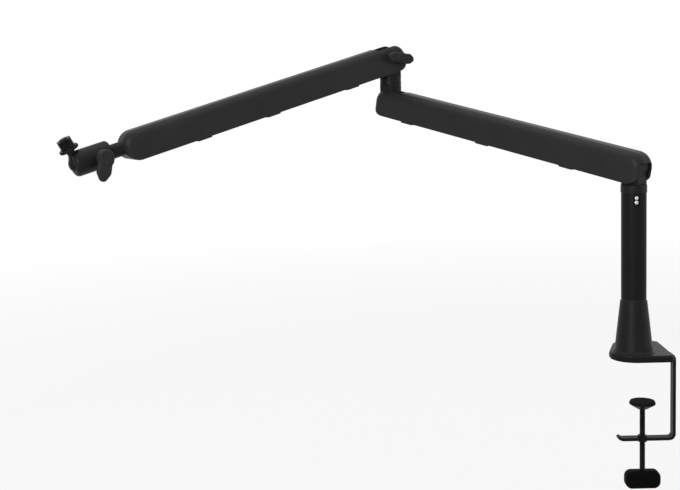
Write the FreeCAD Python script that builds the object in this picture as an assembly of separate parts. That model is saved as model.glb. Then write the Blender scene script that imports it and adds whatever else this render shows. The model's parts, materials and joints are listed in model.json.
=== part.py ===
import FreeCAD, Part
import math
import os

# Microphone boom arm on a desk clamp, drawn in the pose it is used in.
# Lengths are millimetres and angles are degrees. +Z is up, and the origin is on the desk surface under
# the middle of the post. The back of the clamp is towards +X, and the arm reaches towards -X.
# Each piece is drawn in the plain frame of the member that carries it, and is then set in its place.

# Pose: headings turn from +X towards +Y, a rise is positive when a member climbs away from its pivot
lower_heading = 134.0
lower_rise = 10.8
upper_heading = 211.7
upper_rise = -14.7
stud_angle = 75.0
elbow_lever_angle = 202.0
head_lever_angle = -64.0
post_screw_heading = 270.0

# Main distances between pivots
arm_span = 350.0
shoulder_height = 201.0
elbow_gap = 21.0

# Clearances
overrun = 6.0
running_gap = 0.05
body_gap = 0.4
same = 0.001

# Arm channels
arm_height = 33.0
arm_width = 30.0
arm_wall = 2.4
arm_edge_radius = 10.0
fork_depth = 22.0
shoulder_slot_height = 7.0

# Pivot pins and friction washers
pivot_radius = 4.0
pivot_head_radius = 6.5
pivot_head_height = 1.8
pivot_head_round = 1.2
pivot_blind_wall = 1.4
washer_land = 4.0
washer_thickness = 2.5
washer_margin = 0.1
tongue_gap = 0.8

# Balance springs, between the pivot pin and the roof of the channel
spring_room = 0.5625
spring_wire = 1.6
spring_coil_start = 28.0
spring_coil_length = 104.0
spring_pin_radius = 1.75
spring_pin_share = 0.32258
spring_hook_gap = 0.15
spring_slot_half = 2.6
spring_slot_drop = 8.0
anchor_distance = 160.0
anchor_height = 3.0
anchor_length = 8.0
anchor_reach = 6.0
anchor_tab_inside = 2.0
anchor_tab_thickness = 3.0
anchor_tab_height = 4.0
anchor_floor = -3.0

# Parallel link in the lower arm: its pivots lie square to the arm at the middle of its travel
link_offset = 10.5
link_square_rise = 27.5
link_half_height = 2.75
link_thickness = 4.4
link_eye_radius = 5.0
link_pin_radius = 2.5
link_slot_half = 2.6
link_slot_room = 1.4

# Cable clips, placed along the arm by shares of its span
clip_length = 17.0
clip_drop = 1.4
clip_leg_height = 6.0
clip_leg_thickness = 1.8
clip_edge_inset = 0.4
clip_round = 0.5
lower_clip_shares = (0.21, 0.545, 0.88)
upper_clip_shares = (0.20, 0.52, 0.78)

# Pan-head screws with a hexagon socket
screw_shaft_radius = 2.0
screw_head_radius = 3.6
screw_head_height = 1.8
screw_head_round = 0.9
screw_socket_flats = 2.5
screw_socket_depth = 1.2
screw_length = 9.0

# Clamp bracket
plate_thickness = 3.2
plate_front_radius = 25.3
plate_back_depth = 45.0
plate_back_radius = 12.0
plate_back_place = -3.0
plate_right = 37.0
plate_corner = 6.0
leg_outside = 43.2
leg_width = 10.0
bend_radius = 5.2
jaw_gap = 85.2
jaw_tip = -11.0
jaw_lip_radius = 7.0
jaw_lip_angle = 50.0
desk_pad_thickness = 1.5
desk_pad_inset = 1.0

# Base socket, with its bush
flange_thickness = 2.5
flange_inset = 0.6
flange_right_inset = 1.0
flange_round = 1.0
cone_bottom_radius = 19.6
cone_top_radius = 13.9
cone_height = 54.5
cone_foot_round = 2.5
cone_rim = 0.8
bush_wall = 2.0
bush_collar_radius = 12.6
bush_collar_height = 1.2
bush_floor_gap = 1.0
flange_screw_circle = 14.8
flange_screw_count = 4
flange_screw_head_radius = 3.6
flange_screw_radius = 1.9
flange_screw_length = 14.0

# Post, with its spindle
post_radius = 13.0
post_wall = 2.0
spindle_radius = 8.0
spindle_tip_gap = 1.5
spindle_plug_length = 24.0
spindle_tip_chamfer = 1.5

# Shoulder knuckle
neck_half_width = 10.0
collar_gap = 1.9
collar_radius = 13.5
collar_height = 8.6
collar_round = 0.8
knuckle_plug_length = 26.0
post_slot_half_width = 3.1
post_slot_height = 12.6
post_slot_drop = 6.9
post_screw_spacing = 4.7
post_screw_head_radius = 2.2
post_screw_head_height = 1.5
post_screw_shaft_radius = 1.4
post_screw_length = 7.0

# Elbow column
column_radius = 13.0
column_flat_length = 5.5
column_edge_round = 0.6
swivel_washer_thickness = 0.8
swivel_washer_inset = 0.3
swivel_radius = 6.0
swivel_pivot_gap = 5.0
swivel_groove_width = 3.4
swivel_groove_depth = 1.0
swivel_screw_radius = 1.5
swivel_screw_tip_gap = 0.3
swivel_screw_drop = 2.3

# Lock levers: a hub with a paddle on one side at the head, and on both sides at the elbow
elbow_lever_reach = 17.5
elbow_lever_hub_radius = 6.6
head_lever_reach = 26.0
head_lever_hub_radius = 8.5
lever_hub_height = 12.0
lever_hub_round = 2.0
lever_paddle_thickness = 7.5
lever_paddle_lift = 3.2
lever_paddle_round = 2.2
lever_waist_share = 0.58
lever_tip_radius = 4.4
lever_cap_radius = 4.6
lever_cap_height = 0.8
elbow_lever_width = 12.4
head_lever_width = 15.6
lever_washer_thickness = 1.0
lever_washer_radius = 6.2
lever_bolt_cover = 3.0
elbow_bolt_head_radius = 7.0
elbow_bolt_head_height = 4.0
elbow_bolt_head_round = 1.6
elbow_bolt_socket_flats = 5.0
elbow_bolt_socket_depth = 2.4

# Neck on the tip of the upper arm
tip_plug_length = 24.0
tip_plug_radius = 12.4
tip_screw_inset = 5.0
tip_screw_spacing = 9.0
neck_radius = 8.0
neck_reach = 12.6
neck_round = 0.8
neck_spigot_radius = 5.0
neck_screw_head_radius = 7.2
neck_screw_head_height = 2.2

# Ball housing, measured along the arm from the end of the neck
housing_radius = 14.0
housing_wall = 3.85
housing_rear_round = 3.0
housing_front_round = 5.0
cap_flange_height = 3.6
cap_plug_length = 3.5
ball_distance = 37.6
ball_radius = 10.0
ball_gap = 0.1
mouth_reach = 6.0
lever_distance = 13.5
boss_radius = 7.4
boss_height = 1.6
pressure_screw_radius = 3.0
pressure_screw_tip = 2.0
pressure_screw_point_radius = 1.0
seat_length = 14.1
seat_gap = 0.15
seat_edge = 2.0

# Ball stud and what is on it, measured out from the middle of the ball
stud_neck_radius = 4.6
stud_notch_gap = 0.5
ring_distance = 16.4
ring_radius = 10.8
ring_thickness = 3.4
ring_round = 0.9
stud_thread_radius = 4.7625
stud_length = 31.0
stud_chamfer = 0.8
adapter_radius = 7.9375
adapter_length = 9.5
adapter_chamfer = 0.7

# Clamp screw, pressure pad and knob
screw_offset = 9.2
clamp_screw_radius = 3.0
clamp_opening = 46.5
pad_radius = 13.6
pad_rubber_thickness = 1.6
pad_rubber_inset = 0.8
pad_rim = 1.6
pad_height = 6.6
pad_hub_radius = 5.6
pad_ball_radius = 3.8
pad_ball_depth = 2.6
clamp_screw_length = 66.6
jaw_boss_radius = 4.8
jaw_boss_height = 1.6
knob_length = 37.0
knob_height = 19.0
knob_depth = 13.0
knob_corner = 7.0
knob_round = 3.0
knob_screw_depth = 13.0
knob_pin_radius = 1.25
knob_pin_inset = 0.6

# Sizes that follow from the ones above
arm_end_radius = arm_height / 2
inner_end_radius = arm_end_radius - arm_wall
inner_half_width = arm_width / 2 - arm_wall
tongue_half = inner_half_width - washer_thickness - running_gap
fork_half = tongue_half + body_gap
washer_radius = pivot_radius + washer_land
arm_inner_edge_radius = inner_end_radius - washer_radius - washer_margin
inner_edge_centre = inner_half_width - arm_inner_edge_radius
inner_edge_drop = math.sqrt(arm_inner_edge_radius ** 2 - (tongue_half - inner_edge_centre) ** 2)
tongue_radius = inner_end_radius - arm_inner_edge_radius + inner_edge_drop - tongue_gap
pivot_bore_radius = pivot_radius + running_gap
spring_hook_radius = spring_pin_radius + spring_hook_gap + spring_wire
spring_slack = inner_end_radius - pivot_radius - 2 * spring_hook_radius
spring_slot_floor = pivot_radius + spring_pin_share * spring_slack
spring_pin_offset = spring_slot_floor + spring_hook_radius
spring_slope_share = spring_coil_start / anchor_distance
spring_coil_height = spring_pin_offset - spring_slope_share * (spring_pin_offset - anchor_height)
spring_radius = inner_end_radius - spring_coil_height - spring_room
link_x = link_offset * math.sin(math.radians(link_square_rise))
link_z = -link_offset * math.cos(math.radians(link_square_rise))
post_inner_radius = post_radius - post_wall
plate_bottom = desk_pad_thickness
plate_top = plate_bottom + plate_thickness
flange_top = plate_top + flange_thickness
cone_top = flange_top + cone_height
bush_radius = spindle_radius + running_gap + bush_wall
post_bottom = cone_top + bush_collar_height + running_gap
collar_top = -(arm_end_radius + collar_gap)
collar_bottom = collar_top - collar_height
plug_bottom = collar_bottom - knuckle_plug_length
post_screw_height = collar_bottom - post_slot_drop
elbow_spacing = arm_height + elbow_gap
barrel_start = arm_end_radius + column_flat_length
seam_low = (elbow_spacing - swivel_washer_thickness - running_gap) / 2
seam_high = elbow_spacing - seam_low - swivel_washer_thickness - running_gap
swivel_reach = pivot_bore_radius + swivel_pivot_gap
neck_end = arm_span + arm_end_radius + neck_reach
housing_start = neck_end + body_gap
housing_bore = housing_radius - housing_wall
cap_end = housing_start + cap_flange_height + cap_plug_length
ball_place = neck_end + ball_distance
lever_place = neck_end + lever_distance
pad_top = -clamp_opening
jaw_top = -jaw_gap
jaw_bottom = jaw_top - plate_thickness
pad_bottom = pad_top - pad_rubber_thickness - pad_height
screw_ball_height = pad_bottom + pad_ball_depth
knob_top = pad_bottom - clamp_screw_length


def vector(x=0.0, y=0.0, z=0.0):
    return FreeCAD.Vector(x, y, z)


def both(half):
    return (-half, half)


def box(x_range, y_range, z_range):
    corner = vector(x_range[0], y_range[0], z_range[0])
    return Part.makeBox(x_range[1] - x_range[0], y_range[1] - y_range[0], z_range[1] - z_range[0], corner)


def rod(radius, start, end):
    along = end - start
    return Part.makeCylinder(radius, along.Length, start, along)


def tapered_rod(start_radius, end_radius, start, end):
    along = end - start
    return Part.makeCone(start_radius, end_radius, along.Length, start, along)


def sleeve(outer_radius, inner_radius, start, end):
    along = (end - start).normalize() * overrun
    return rod(outer_radius, start, end).cut(rod(inner_radius, start - along, end + along))


def ball(radius, centre):
    return Part.makeSphere(radius, centre)


def line(start, end):
    return Part.LineSegment(start, end).toShape()


def arc(start, middle, end):
    return Part.Arc(start, middle, end).toShape()


def side_prism(edges, y_range):
    """An outline in the XZ plane, drawn out across the member."""
    solid = Part.Face(Part.Wire(edges)).extrude(vector(y=y_range[1] - y_range[0]))
    solid.translate(vector(y=y_range[0]))
    return solid


def turned(points):
    """A closed outline of (radius, height) points, turned about Z."""
    corners = [vector(radius, 0.0, height) for radius, height in points]
    wire = Part.makePolygon(corners + corners[:1])
    return Part.Face(wire).revolve(vector(), vector(z=1.0))


def rounded(shape, radius, wanted):
    """Fillets the edges whose bounding boxes are wanted."""
    return shape.makeFillet(radius, [edge for edge in shape.Edges if wanted(edge.BoundBox)])


def chamfered(shape, size, wanted):
    """Chamfers the edges whose bounding boxes are wanted."""
    return shape.makeChamfer(size, [edge for edge in shape.Edges if wanted(edge.BoundBox)])


def level_at(*heights):
    """Picks edges that lie flat at one of the heights."""
    def wanted(bounds):
        return bounds.ZLength < same and any(abs(bounds.ZMin - height) < same for height in heights)
    return wanted


def side_at(*places):
    """Picks edges that lie in a plane across the member at one of the places."""
    def wanted(bounds):
        return bounds.YLength < same and any(abs(bounds.YMin - place) < same for place in places)
    return wanted


def end_at(*places):
    """Picks edges that lie in a plane square to X at one of the places."""
    def wanted(bounds):
        return bounds.XLength < same and any(abs(bounds.XMin - place) < same for place in places)
    return wanted


def polar(centre, radius, angle):
    """A point in the XZ plane, at an angle from +X towards +Z."""
    turn = math.radians(angle)
    return centre + vector(radius * math.cos(turn), 0.0, radius * math.sin(turn))


def bend(centre, radius, first, last):
    """An arc in the XZ plane between two angles."""
    middle = (first + last) / 2
    return arc(polar(centre, radius, first), polar(centre, radius, middle), polar(centre, radius, last))


def belt_outline(first, first_radius, second, second_radius):
    """The outline of a belt round two circles in the XZ plane."""
    along = second - first
    heading = math.degrees(math.atan2(along.z, along.x))
    spread = math.degrees(math.acos((first_radius - second_radius) / along.Length))
    first_high = polar(first, first_radius, heading + spread)
    first_low = polar(first, first_radius, heading - spread)
    second_high = polar(second, second_radius, heading + spread)
    second_low = polar(second, second_radius, heading - spread)
    return [
        arc(first_high, polar(first, first_radius, heading + 180), first_low),
        line(first_low, second_low),
        arc(second_low, polar(second, second_radius, heading), second_high),
        line(second_high, first_high),
    ]


def frame_at(origin, heading, rise=0.0):
    """A frame whose X axis has this heading and rise, with Y level and to its left."""
    turn = FreeCAD.Rotation(vector(z=1.0), heading)
    lift = FreeCAD.Rotation(vector(y=1.0), -rise)
    return FreeCAD.Placement(origin, turn.multiply(lift))


def aimed(shape, place, direction):
    """A shape drawn along +Z, set at a place and aimed along a direction."""
    copy = shape.copy()
    copy.Placement = FreeCAD.Placement(place, FreeCAD.Rotation(vector(z=1.0), direction))
    return copy


def placed(shape, frame):
    copy = shape.copy()
    copy.Placement = frame.multiply(shape.Placement)
    return copy


def group(shapes):
    return Part.makeCompound(shapes)


def hexagon(flats, z_range):
    """A hexagonal prism on Z."""
    corner = flats / math.sqrt(3)
    points = [vector(corner * math.cos(math.radians(60 * step)), corner * math.sin(math.radians(60 * step)))
              for step in range(7)]
    prism = Part.Face(Part.makePolygon(points)).extrude(vector(z=z_range[1] - z_range[0]))
    prism.translate(vector(z=z_range[0]))
    return prism


def socket_screw(shaft_radius, length, head_radius, head_height, head_round, flats, depth):
    """A screw along Z whose head stands on z = 0, with its shaft below."""
    head = rounded(rod(head_radius, vector(), vector(z=head_height)), head_round, level_at(head_height))
    shaft = rod(shaft_radius, vector(z=-length), vector())
    return head.fuse(shaft).cut(hexagon(flats, (head_height - depth, head_height + overrun)))


def pan_screw():
    return socket_screw(screw_shaft_radius, screw_length, screw_head_radius, screw_head_height,
                        screw_head_round, screw_socket_flats, screw_socket_depth)


# Arm channels


def round_bar(end_radius, half_width, edge_radius):
    """A bar along X between the pivots, with round ends and rounded edges."""
    outline = belt_outline(vector(), end_radius, vector(arm_span), end_radius)
    bar = side_prism(outline, both(half_width))
    return rounded(bar, edge_radius, side_at(*both(half_width)))


def arm_skirt():
    """The lower half of the arm: upright walls, rounded in plan and drawn up at the ends."""
    ends = (-arm_end_radius, arm_span + arm_end_radius)
    walls = box(ends, both(arm_width / 2), (-arm_end_radius, 0.0))
    walls = rounded(walls, arm_edge_radius, lambda bounds: bounds.ZLength > same)
    outline = belt_outline(vector(), arm_end_radius, vector(arm_span), arm_end_radius)
    return walls.common(side_prism(outline, both(arm_width)))


def arm_channel(open_range):
    """The walls of an arm, open below over a range of X."""
    outside = round_bar(arm_end_radius, arm_width / 2, arm_edge_radius).fuse(arm_skirt())
    return outside.removeSplitter().cut(arm_hollow(open_range))


def arm_hollow(open_range):
    inside = round_bar(inner_end_radius, inner_half_width, arm_inner_edge_radius)
    return inside.fuse(box(open_range, both(inner_half_width), (-arm_height, 0.0)))


def blind_pin_hole(place):
    """A hole from the far side of the arm that stops inside the near cheek."""
    return rod(pivot_radius, vector(place, -arm_width), vector(place, arm_width / 2 - pivot_blind_wall))


def back_screw_hole(place, height):
    return rod(screw_shaft_radius, vector(place, -arm_width, height), vector(place, 0.0, height))


def back_screw(place, height):
    """A pan-head screw in the far side of the arm."""
    return aimed(pan_screw(), vector(place, -arm_width / 2, height), vector(y=-1.0))


def lower_arm_shell():
    shell = arm_channel((0.0, arm_span))
    end_slot = box((-arm_height, 0.0), both(fork_half), (-arm_height, shoulder_slot_height))
    fork = box((arm_span - fork_depth, arm_span + arm_height), both(fork_half), both(arm_height))
    shell = shell.cut(end_slot).cut(fork)
    for place in (0.0, arm_span):
        shell = shell.cut(blind_pin_hole(place))
    return shell.cut(back_screw_hole(anchor_screw_place(), anchor_height))


def upper_arm_shell():
    shell = arm_channel((0.0, arm_span))
    fork = box((-arm_height, fork_depth), both(fork_half), both(arm_height))
    shell = shell.cut(fork).cut(rod(pivot_radius, vector(y=-arm_width), vector(y=arm_width)))
    shell = shell.cut(rod(neck_radius, vector(arm_span), vector(arm_span + arm_height)))
    for place in tip_screw_places():
        shell = shell.cut(back_screw_hole(place, 0.0))
    return shell.cut(back_screw_hole(anchor_screw_place(), anchor_height))


def friction_washers(place):
    start = tongue_half + running_gap
    near = sleeve(washer_radius, pivot_bore_radius, vector(place, start), vector(place, inner_half_width))
    far = sleeve(washer_radius, pivot_bore_radius, vector(place, -inner_half_width), vector(place, -start))
    return [near, far]


def pivot_pin(place):
    """A headed pin, put in from the far side of the arm."""
    back = -arm_width / 2
    shaft = rod(pivot_radius, vector(place, back), vector(place, arm_width / 2 - pivot_blind_wall))
    head = rod(pivot_head_radius, vector(place, back - pivot_head_height), vector(place, back))
    return shaft.fuse(rounded(head, pivot_head_round, side_at(back - pivot_head_height)))


def cable_clip(place):
    """A clip that snaps between the walls and bridges the open side."""
    bottom = -arm_end_radius
    ends = (place - clip_length / 2, place + clip_length / 2)
    bridge = box(ends, both(arm_width / 2 - clip_edge_inset), (bottom - clip_drop, bottom))
    bridge = rounded(bridge, clip_round, level_at(bottom - clip_drop))
    clip = bridge
    for side in (-1.0, 1.0):
        wall = side * inner_half_width
        leg_range = sorted((wall, wall - side * clip_leg_thickness))
        clip = clip.fuse(box(ends, leg_range, (bottom, bottom + clip_leg_height)))
    return clip


def cable_clips(shares):
    return group([cable_clip(share * arm_span) for share in shares])


# Balance springs


def spring_hook_place(rise):
    """The spring's pin on the knuckle, seen in the frame of an arm at this rise."""
    return polar(vector(), spring_pin_offset, 90 - rise)


def anchor_screw_place():
    return anchor_distance + anchor_reach + anchor_length / 2


def spring_ring(place):
    radius = spring_pin_radius + spring_hook_gap + spring_wire / 2
    return Part.makeTorus(radius, spring_wire / 2, place, vector(y=1.0))


def balance_spring(rise):
    """A close-wound spring with a hook at each end, from the knuckle's pin to the arm's anchor."""
    start = spring_hook_place(rise)
    end = vector(anchor_distance, 0.0, anchor_height)
    along = (end - start).normalize()
    shank = spring_pin_radius + spring_hook_gap + spring_wire / 2
    coil_start = start + along * spring_coil_start
    coil_end = coil_start + along * spring_coil_length
    spring = sleeve(spring_radius, spring_radius - spring_wire, coil_start, coil_end)
    hooks = ((coil_start, start + along * shank, along), (coil_end, end - along * shank, -along))
    for place, hook, inward in hooks:
        inner = place + inward * spring_wire
        spring = spring.fuse(rod(spring_radius - spring_wire / 2, place, inner))
        spring = spring.fuse(rod(spring_wire / 2, hook, inner))
    return spring.fuse(spring_ring(start)).fuse(spring_ring(end))


def spring_anchor():
    """A block that fills the channel, with two tabs that hold a pin for the spring."""
    front = anchor_distance + anchor_reach
    filling = arm_hollow((0.0, arm_span))
    block = filling.common(box((front, front + anchor_length), both(arm_width), (anchor_floor, arm_height)))
    pin_place = vector(anchor_distance, 0.0, anchor_height)
    tab_outside = anchor_tab_inside + anchor_tab_thickness
    heights = (anchor_height - anchor_tab_height, anchor_height + anchor_tab_height)
    for side in (-1.0, 1.0):
        tab_range = sorted((side * anchor_tab_inside, side * tab_outside))
        block = block.fuse(box((anchor_distance - anchor_tab_height, front), tab_range, heights))
    pin = rod(spring_pin_radius, pin_place + vector(y=-tab_outside), pin_place + vector(y=tab_outside))
    screw_place = vector(anchor_screw_place(), -arm_width / 2, anchor_height)
    return block.fuse(pin).cut(rod(screw_shaft_radius, screw_place, screw_place + vector(y=screw_length)))


def spring_pin():
    """The knuckle's pin for the spring, across its tongue."""
    place = vector(z=spring_pin_offset)
    return rod(spring_pin_radius, place + vector(y=-tongue_half), place + vector(y=tongue_half))


# Parallel link


def link_bar():
    ends = [vector(), vector(arm_span)]
    half = vector(y=link_thickness / 2)
    bar = box((0.0, arm_span), both(link_thickness / 2), both(link_half_height))
    for end in ends:
        bar = bar.fuse(rod(link_eye_radius, end - half, end + half))
    for end in ends:
        bar = bar.cut(rod(link_pin_radius + running_gap, end + vector(y=-overrun), end + vector(y=overrun)))
    return bar


def link_pin():
    return rod(link_pin_radius, vector(link_x, -tongue_half, link_z), vector(link_x, tongue_half, link_z))


# Knuckles


def tongue(half_width, shank_radius, reach):
    """A flat tongue with a round end, reaching up or down from its pivot inside a round shank."""
    end = rod(tongue_radius, vector(y=-tongue_half), vector(y=tongue_half))
    flat = box(both(half_width), both(tongue_half), sorted((0.0, reach)))
    return end.fuse(flat.common(rod(shank_radius, vector(), vector(z=reach))))


def cross_hole(radius, x, z):
    return rod(radius, vector(x, -arm_width, z), vector(x, arm_width, z))


def spring_slot():
    """Room for the spring's hook over the top of a tongue and down its arm side."""
    over = box(both(arm_height), both(spring_slot_half), (spring_slot_floor, arm_height))
    return over.fuse(box((0.0, arm_height), both(spring_slot_half), (-spring_slot_drop, arm_height)))


def shoulder_knuckle():
    """Tongue, collar and plug in one piece, drawn from the shoulder pivot."""
    collar = rod(collar_radius, vector(z=collar_bottom), vector(z=collar_top))
    collar = rounded(collar, collar_round, level_at(collar_bottom, collar_top))
    plug = rod(post_inner_radius, vector(z=plug_bottom), vector(z=collar_bottom))
    knuckle = tongue(neck_half_width, post_radius, collar_top).fuse(collar).fuse(plug)
    eye_room = link_eye_radius + body_gap
    link_slot = box((link_x - eye_room, arm_height), both(link_slot_half), (link_z - eye_room, arm_height))
    knuckle = knuckle.cut(link_slot).cut(spring_slot())
    knuckle = knuckle.cut(cross_hole(pivot_bore_radius, 0.0, 0.0))
    knuckle = knuckle.cut(cross_hole(link_pin_radius, link_x, link_z))
    knuckle = knuckle.cut(cross_hole(spring_pin_radius, 0.0, spring_pin_offset))
    for screw in post_screws_in_knuckle():
        knuckle = knuckle.cut(screw)
    return knuckle


def post_screw():
    head = rod(post_screw_head_radius, vector(), vector(z=post_screw_head_height))
    head = rounded(head, post_screw_head_height / 2, level_at(post_screw_head_height))
    return head.fuse(rod(post_screw_shaft_radius, vector(z=-post_screw_length), vector()))


def post_screws_in_knuckle():
    """The two screws that hold the knuckle in the post, one above the other."""
    turn = math.radians(post_screw_heading - lower_heading)
    outward = vector(math.cos(turn), math.sin(turn))
    seat = math.sqrt(post_inner_radius ** 2 - post_screw_head_radius ** 2)
    heights = [post_screw_height + step * post_screw_spacing / 2 for step in (-1, 1)]
    return [aimed(post_screw(), outward * seat + vector(z=height), outward) for height in heights]


def elbow_lower_knuckle():
    """The half of the elbow column that stays with the lower arm, drawn from its pivot."""
    barrel = rod(column_radius, vector(z=barrel_start), vector(z=seam_low))
    barrel = rounded(barrel, column_edge_round, level_at(seam_low))
    link_place = vector(link_x, 0.0, link_z)
    across = vector(y=tongue_half)
    lobe_outline = belt_outline(vector(), tongue_radius, link_place, link_eye_radius)
    lobe = side_prism(lobe_outline, both(tongue_half))
    knuckle = tongue(column_radius, column_radius, barrel_start).fuse(lobe).fuse(barrel)
    slot_top = link_z + link_eye_radius + link_slot_room
    knuckle = knuckle.cut(box(both(arm_height), both(link_slot_half), (-arm_height, slot_top)))
    knuckle = knuckle.cut(cross_hole(pivot_bore_radius, 0.0, 0.0))
    knuckle = knuckle.cut(rod(link_pin_radius, link_place - across, link_place + across))
    return knuckle.cut(rod(swivel_radius, vector(z=swivel_reach), vector(z=elbow_spacing)))


def elbow_upper_knuckle():
    """The half of the elbow column that swivels with the upper arm, drawn from the upper pivot."""
    barrel = rod(column_radius, vector(z=-seam_high), vector(z=-barrel_start))
    barrel = rounded(barrel, column_edge_round, level_at(-seam_high))
    knuckle = tongue(column_radius, column_radius, -barrel_start).fuse(barrel).cut(spring_slot())
    knuckle = knuckle.cut(cross_hole(pivot_bore_radius, 0.0, 0.0))
    knuckle = knuckle.cut(cross_hole(spring_pin_radius, 0.0, spring_pin_offset))
    swivel_bore = rod(swivel_radius + running_gap, vector(z=-elbow_spacing), vector(z=-swivel_reach))
    knuckle = knuckle.cut(swivel_bore)
    screw_height = -swivel_screw_height()
    screw_end = vector(column_radius + overrun, 0.0, screw_height)
    return knuckle.cut(rod(swivel_screw_radius, vector(z=screw_height), screw_end))


def swivel_screw_height():
    """How far the swivel's holding screw lies below the upper pivot."""
    return barrel_start + swivel_screw_drop


def swivel_screw():
    """A headless screw whose tip runs in the spindle's groove."""
    height = -swivel_screw_height()
    tip = swivel_radius - swivel_groove_depth + swivel_screw_tip_gap
    end = column_radius - swivel_screw_tip_gap
    return rod(swivel_screw_radius, vector(tip, 0.0, height), vector(end, 0.0, height))


def swivel_spindle():
    """Pressed into the lower knuckle, free in the upper one. Drawn from the lower pivot."""
    top = elbow_spacing - swivel_reach - body_gap
    groove_middle = elbow_spacing - swivel_screw_height()
    groove_range = (groove_middle - swivel_groove_width / 2, groove_middle + swivel_groove_width / 2)
    spindle = rod(swivel_radius, vector(z=swivel_reach), vector(z=top))
    groove = sleeve(swivel_radius + overrun, swivel_radius - swivel_groove_depth,
                    vector(z=groove_range[0]), vector(z=groove_range[1]))
    return spindle.cut(groove)


def swivel_washer():
    return sleeve(column_radius - swivel_washer_inset, swivel_radius + running_gap,
                  vector(z=seam_low), vector(z=seam_low + swivel_washer_thickness))


# Lock levers


def lever_paddle(hub_radius, reach, width):
    """A flat paddle from the hub along X, towards -X for a negative reach."""
    paddle_range = (lever_paddle_lift, lever_paddle_lift + lever_paddle_thickness)
    waist = vector(reach * lever_waist_share)
    tip = vector(reach - math.copysign(lever_tip_radius, reach))
    root_radius = hub_radius - lever_paddle_round / 2
    root = side_prism(belt_outline(vector(), root_radius, waist, width / 2), paddle_range)
    end = side_prism(belt_outline(waist, width / 2, tip, lever_tip_radius), paddle_range)
    paddle = root.fuse(end).removeSplitter()
    return rounded(paddle, lever_paddle_round, side_at(*paddle_range))


def lock_lever(hub_radius, reaches, width, bolt_radius, bolt_depth):
    """A lever that turns on +Y, with a paddle for each reach."""
    hub = rod(hub_radius, vector(), vector(y=lever_hub_height))
    hub = rounded(hub, lever_hub_round, side_at(lever_hub_height))
    cap_top = lever_hub_height + lever_cap_height
    cap = rod(lever_cap_radius, vector(y=lever_hub_height), vector(y=cap_top))
    cap = rounded(cap, lever_cap_height / 2, side_at(cap_top))
    bore = rod(bolt_radius + running_gap, vector(y=-overrun), vector(y=bolt_depth))
    lever = hub.fuse(cap)
    for reach in reaches:
        lever = lever.fuse(lever_paddle(hub_radius, reach, width))
    return lever.cut(bore)


def turned_lever(lever, place, angle):
    """A lever set at a place on an arm, with its paddle at an angle from +X towards +Z."""
    copy = lever.copy()
    copy.Placement = FreeCAD.Placement(place, FreeCAD.Rotation(vector(y=1.0), -angle))
    return copy


def elbow_lever_seat():
    return arm_width / 2 + lever_washer_thickness + body_gap


def elbow_bolt():
    """Put in from the far side, through both cheeks and into the lever."""
    back = -arm_width / 2
    end = elbow_lever_seat() + lever_hub_height - lever_bolt_cover
    head = rod(elbow_bolt_head_radius, vector(y=back - elbow_bolt_head_height), vector(y=back))
    head = rounded(head, elbow_bolt_head_round, side_at(back - elbow_bolt_head_height))
    socket = hexagon(elbow_bolt_socket_flats, (-overrun, elbow_bolt_socket_depth))
    socket = aimed(socket, vector(y=back - elbow_bolt_head_height), vector(y=1.0))
    return head.fuse(rod(pivot_radius, vector(y=back), vector(y=end))).cut(socket)


def elbow_lever():
    reaches = both(elbow_lever_reach)
    bolt_depth = lever_hub_height - lever_bolt_cover + body_gap
    lever = lock_lever(elbow_lever_hub_radius, reaches, elbow_lever_width, pivot_radius, bolt_depth)
    return turned_lever(lever, vector(y=elbow_lever_seat()), elbow_lever_angle)


def elbow_lever_washer():
    start = vector(y=arm_width / 2)
    return sleeve(lever_washer_radius, pivot_bore_radius, start, start + vector(y=lever_washer_thickness))


# Head


def tip_screw_places():
    """Where the screws of the tip plug lie along the arm, from the plug's inner end."""
    start = arm_span + inner_end_radius - tip_plug_length
    return [start + tip_screw_inset, start + tip_screw_inset + tip_screw_spacing]


def tip_neck():
    """A plug inside the tip of the arm, with the neck and the spigot that the ball housing turns on."""
    plug_end = arm_span + inner_end_radius
    plug = rod(tip_plug_radius, vector(plug_end - tip_plug_length), vector(plug_end))
    plug = plug.common(arm_hollow((0.0, arm_span)))
    neck = rod(neck_radius, vector(arm_span), vector(neck_end))
    neck = rounded(neck, neck_round, end_at(neck_end))
    spigot = rod(neck_spigot_radius, vector(arm_span), vector(cap_end + body_gap))
    piece = plug.fuse(neck).fuse(spigot)
    for place in tip_screw_places():
        screw_end = vector(place, screw_length - arm_width / 2)
        piece = piece.cut(rod(screw_shaft_radius, vector(place, -arm_width), screw_end))
    return piece


def neck_screw():
    """The broad-headed screw in the end of the spigot, which keeps the housing on it."""
    start = vector(cap_end + body_gap)
    return rod(neck_screw_head_radius, start, start + vector(neck_screw_head_height))


def housing_cap():
    """The rear of the ball housing, which turns on the neck's spigot."""
    shoulder = housing_start + cap_flange_height
    flange = rod(housing_radius, vector(housing_start), vector(shoulder))
    flange = rounded(flange, housing_rear_round, end_at(housing_start))
    plug = rod(housing_bore, vector(shoulder), vector(cap_end))
    bore = rod(neck_spigot_radius + running_gap, vector(neck_end), vector(cap_end + overrun))
    return flange.fuse(plug).cut(bore)


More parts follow.
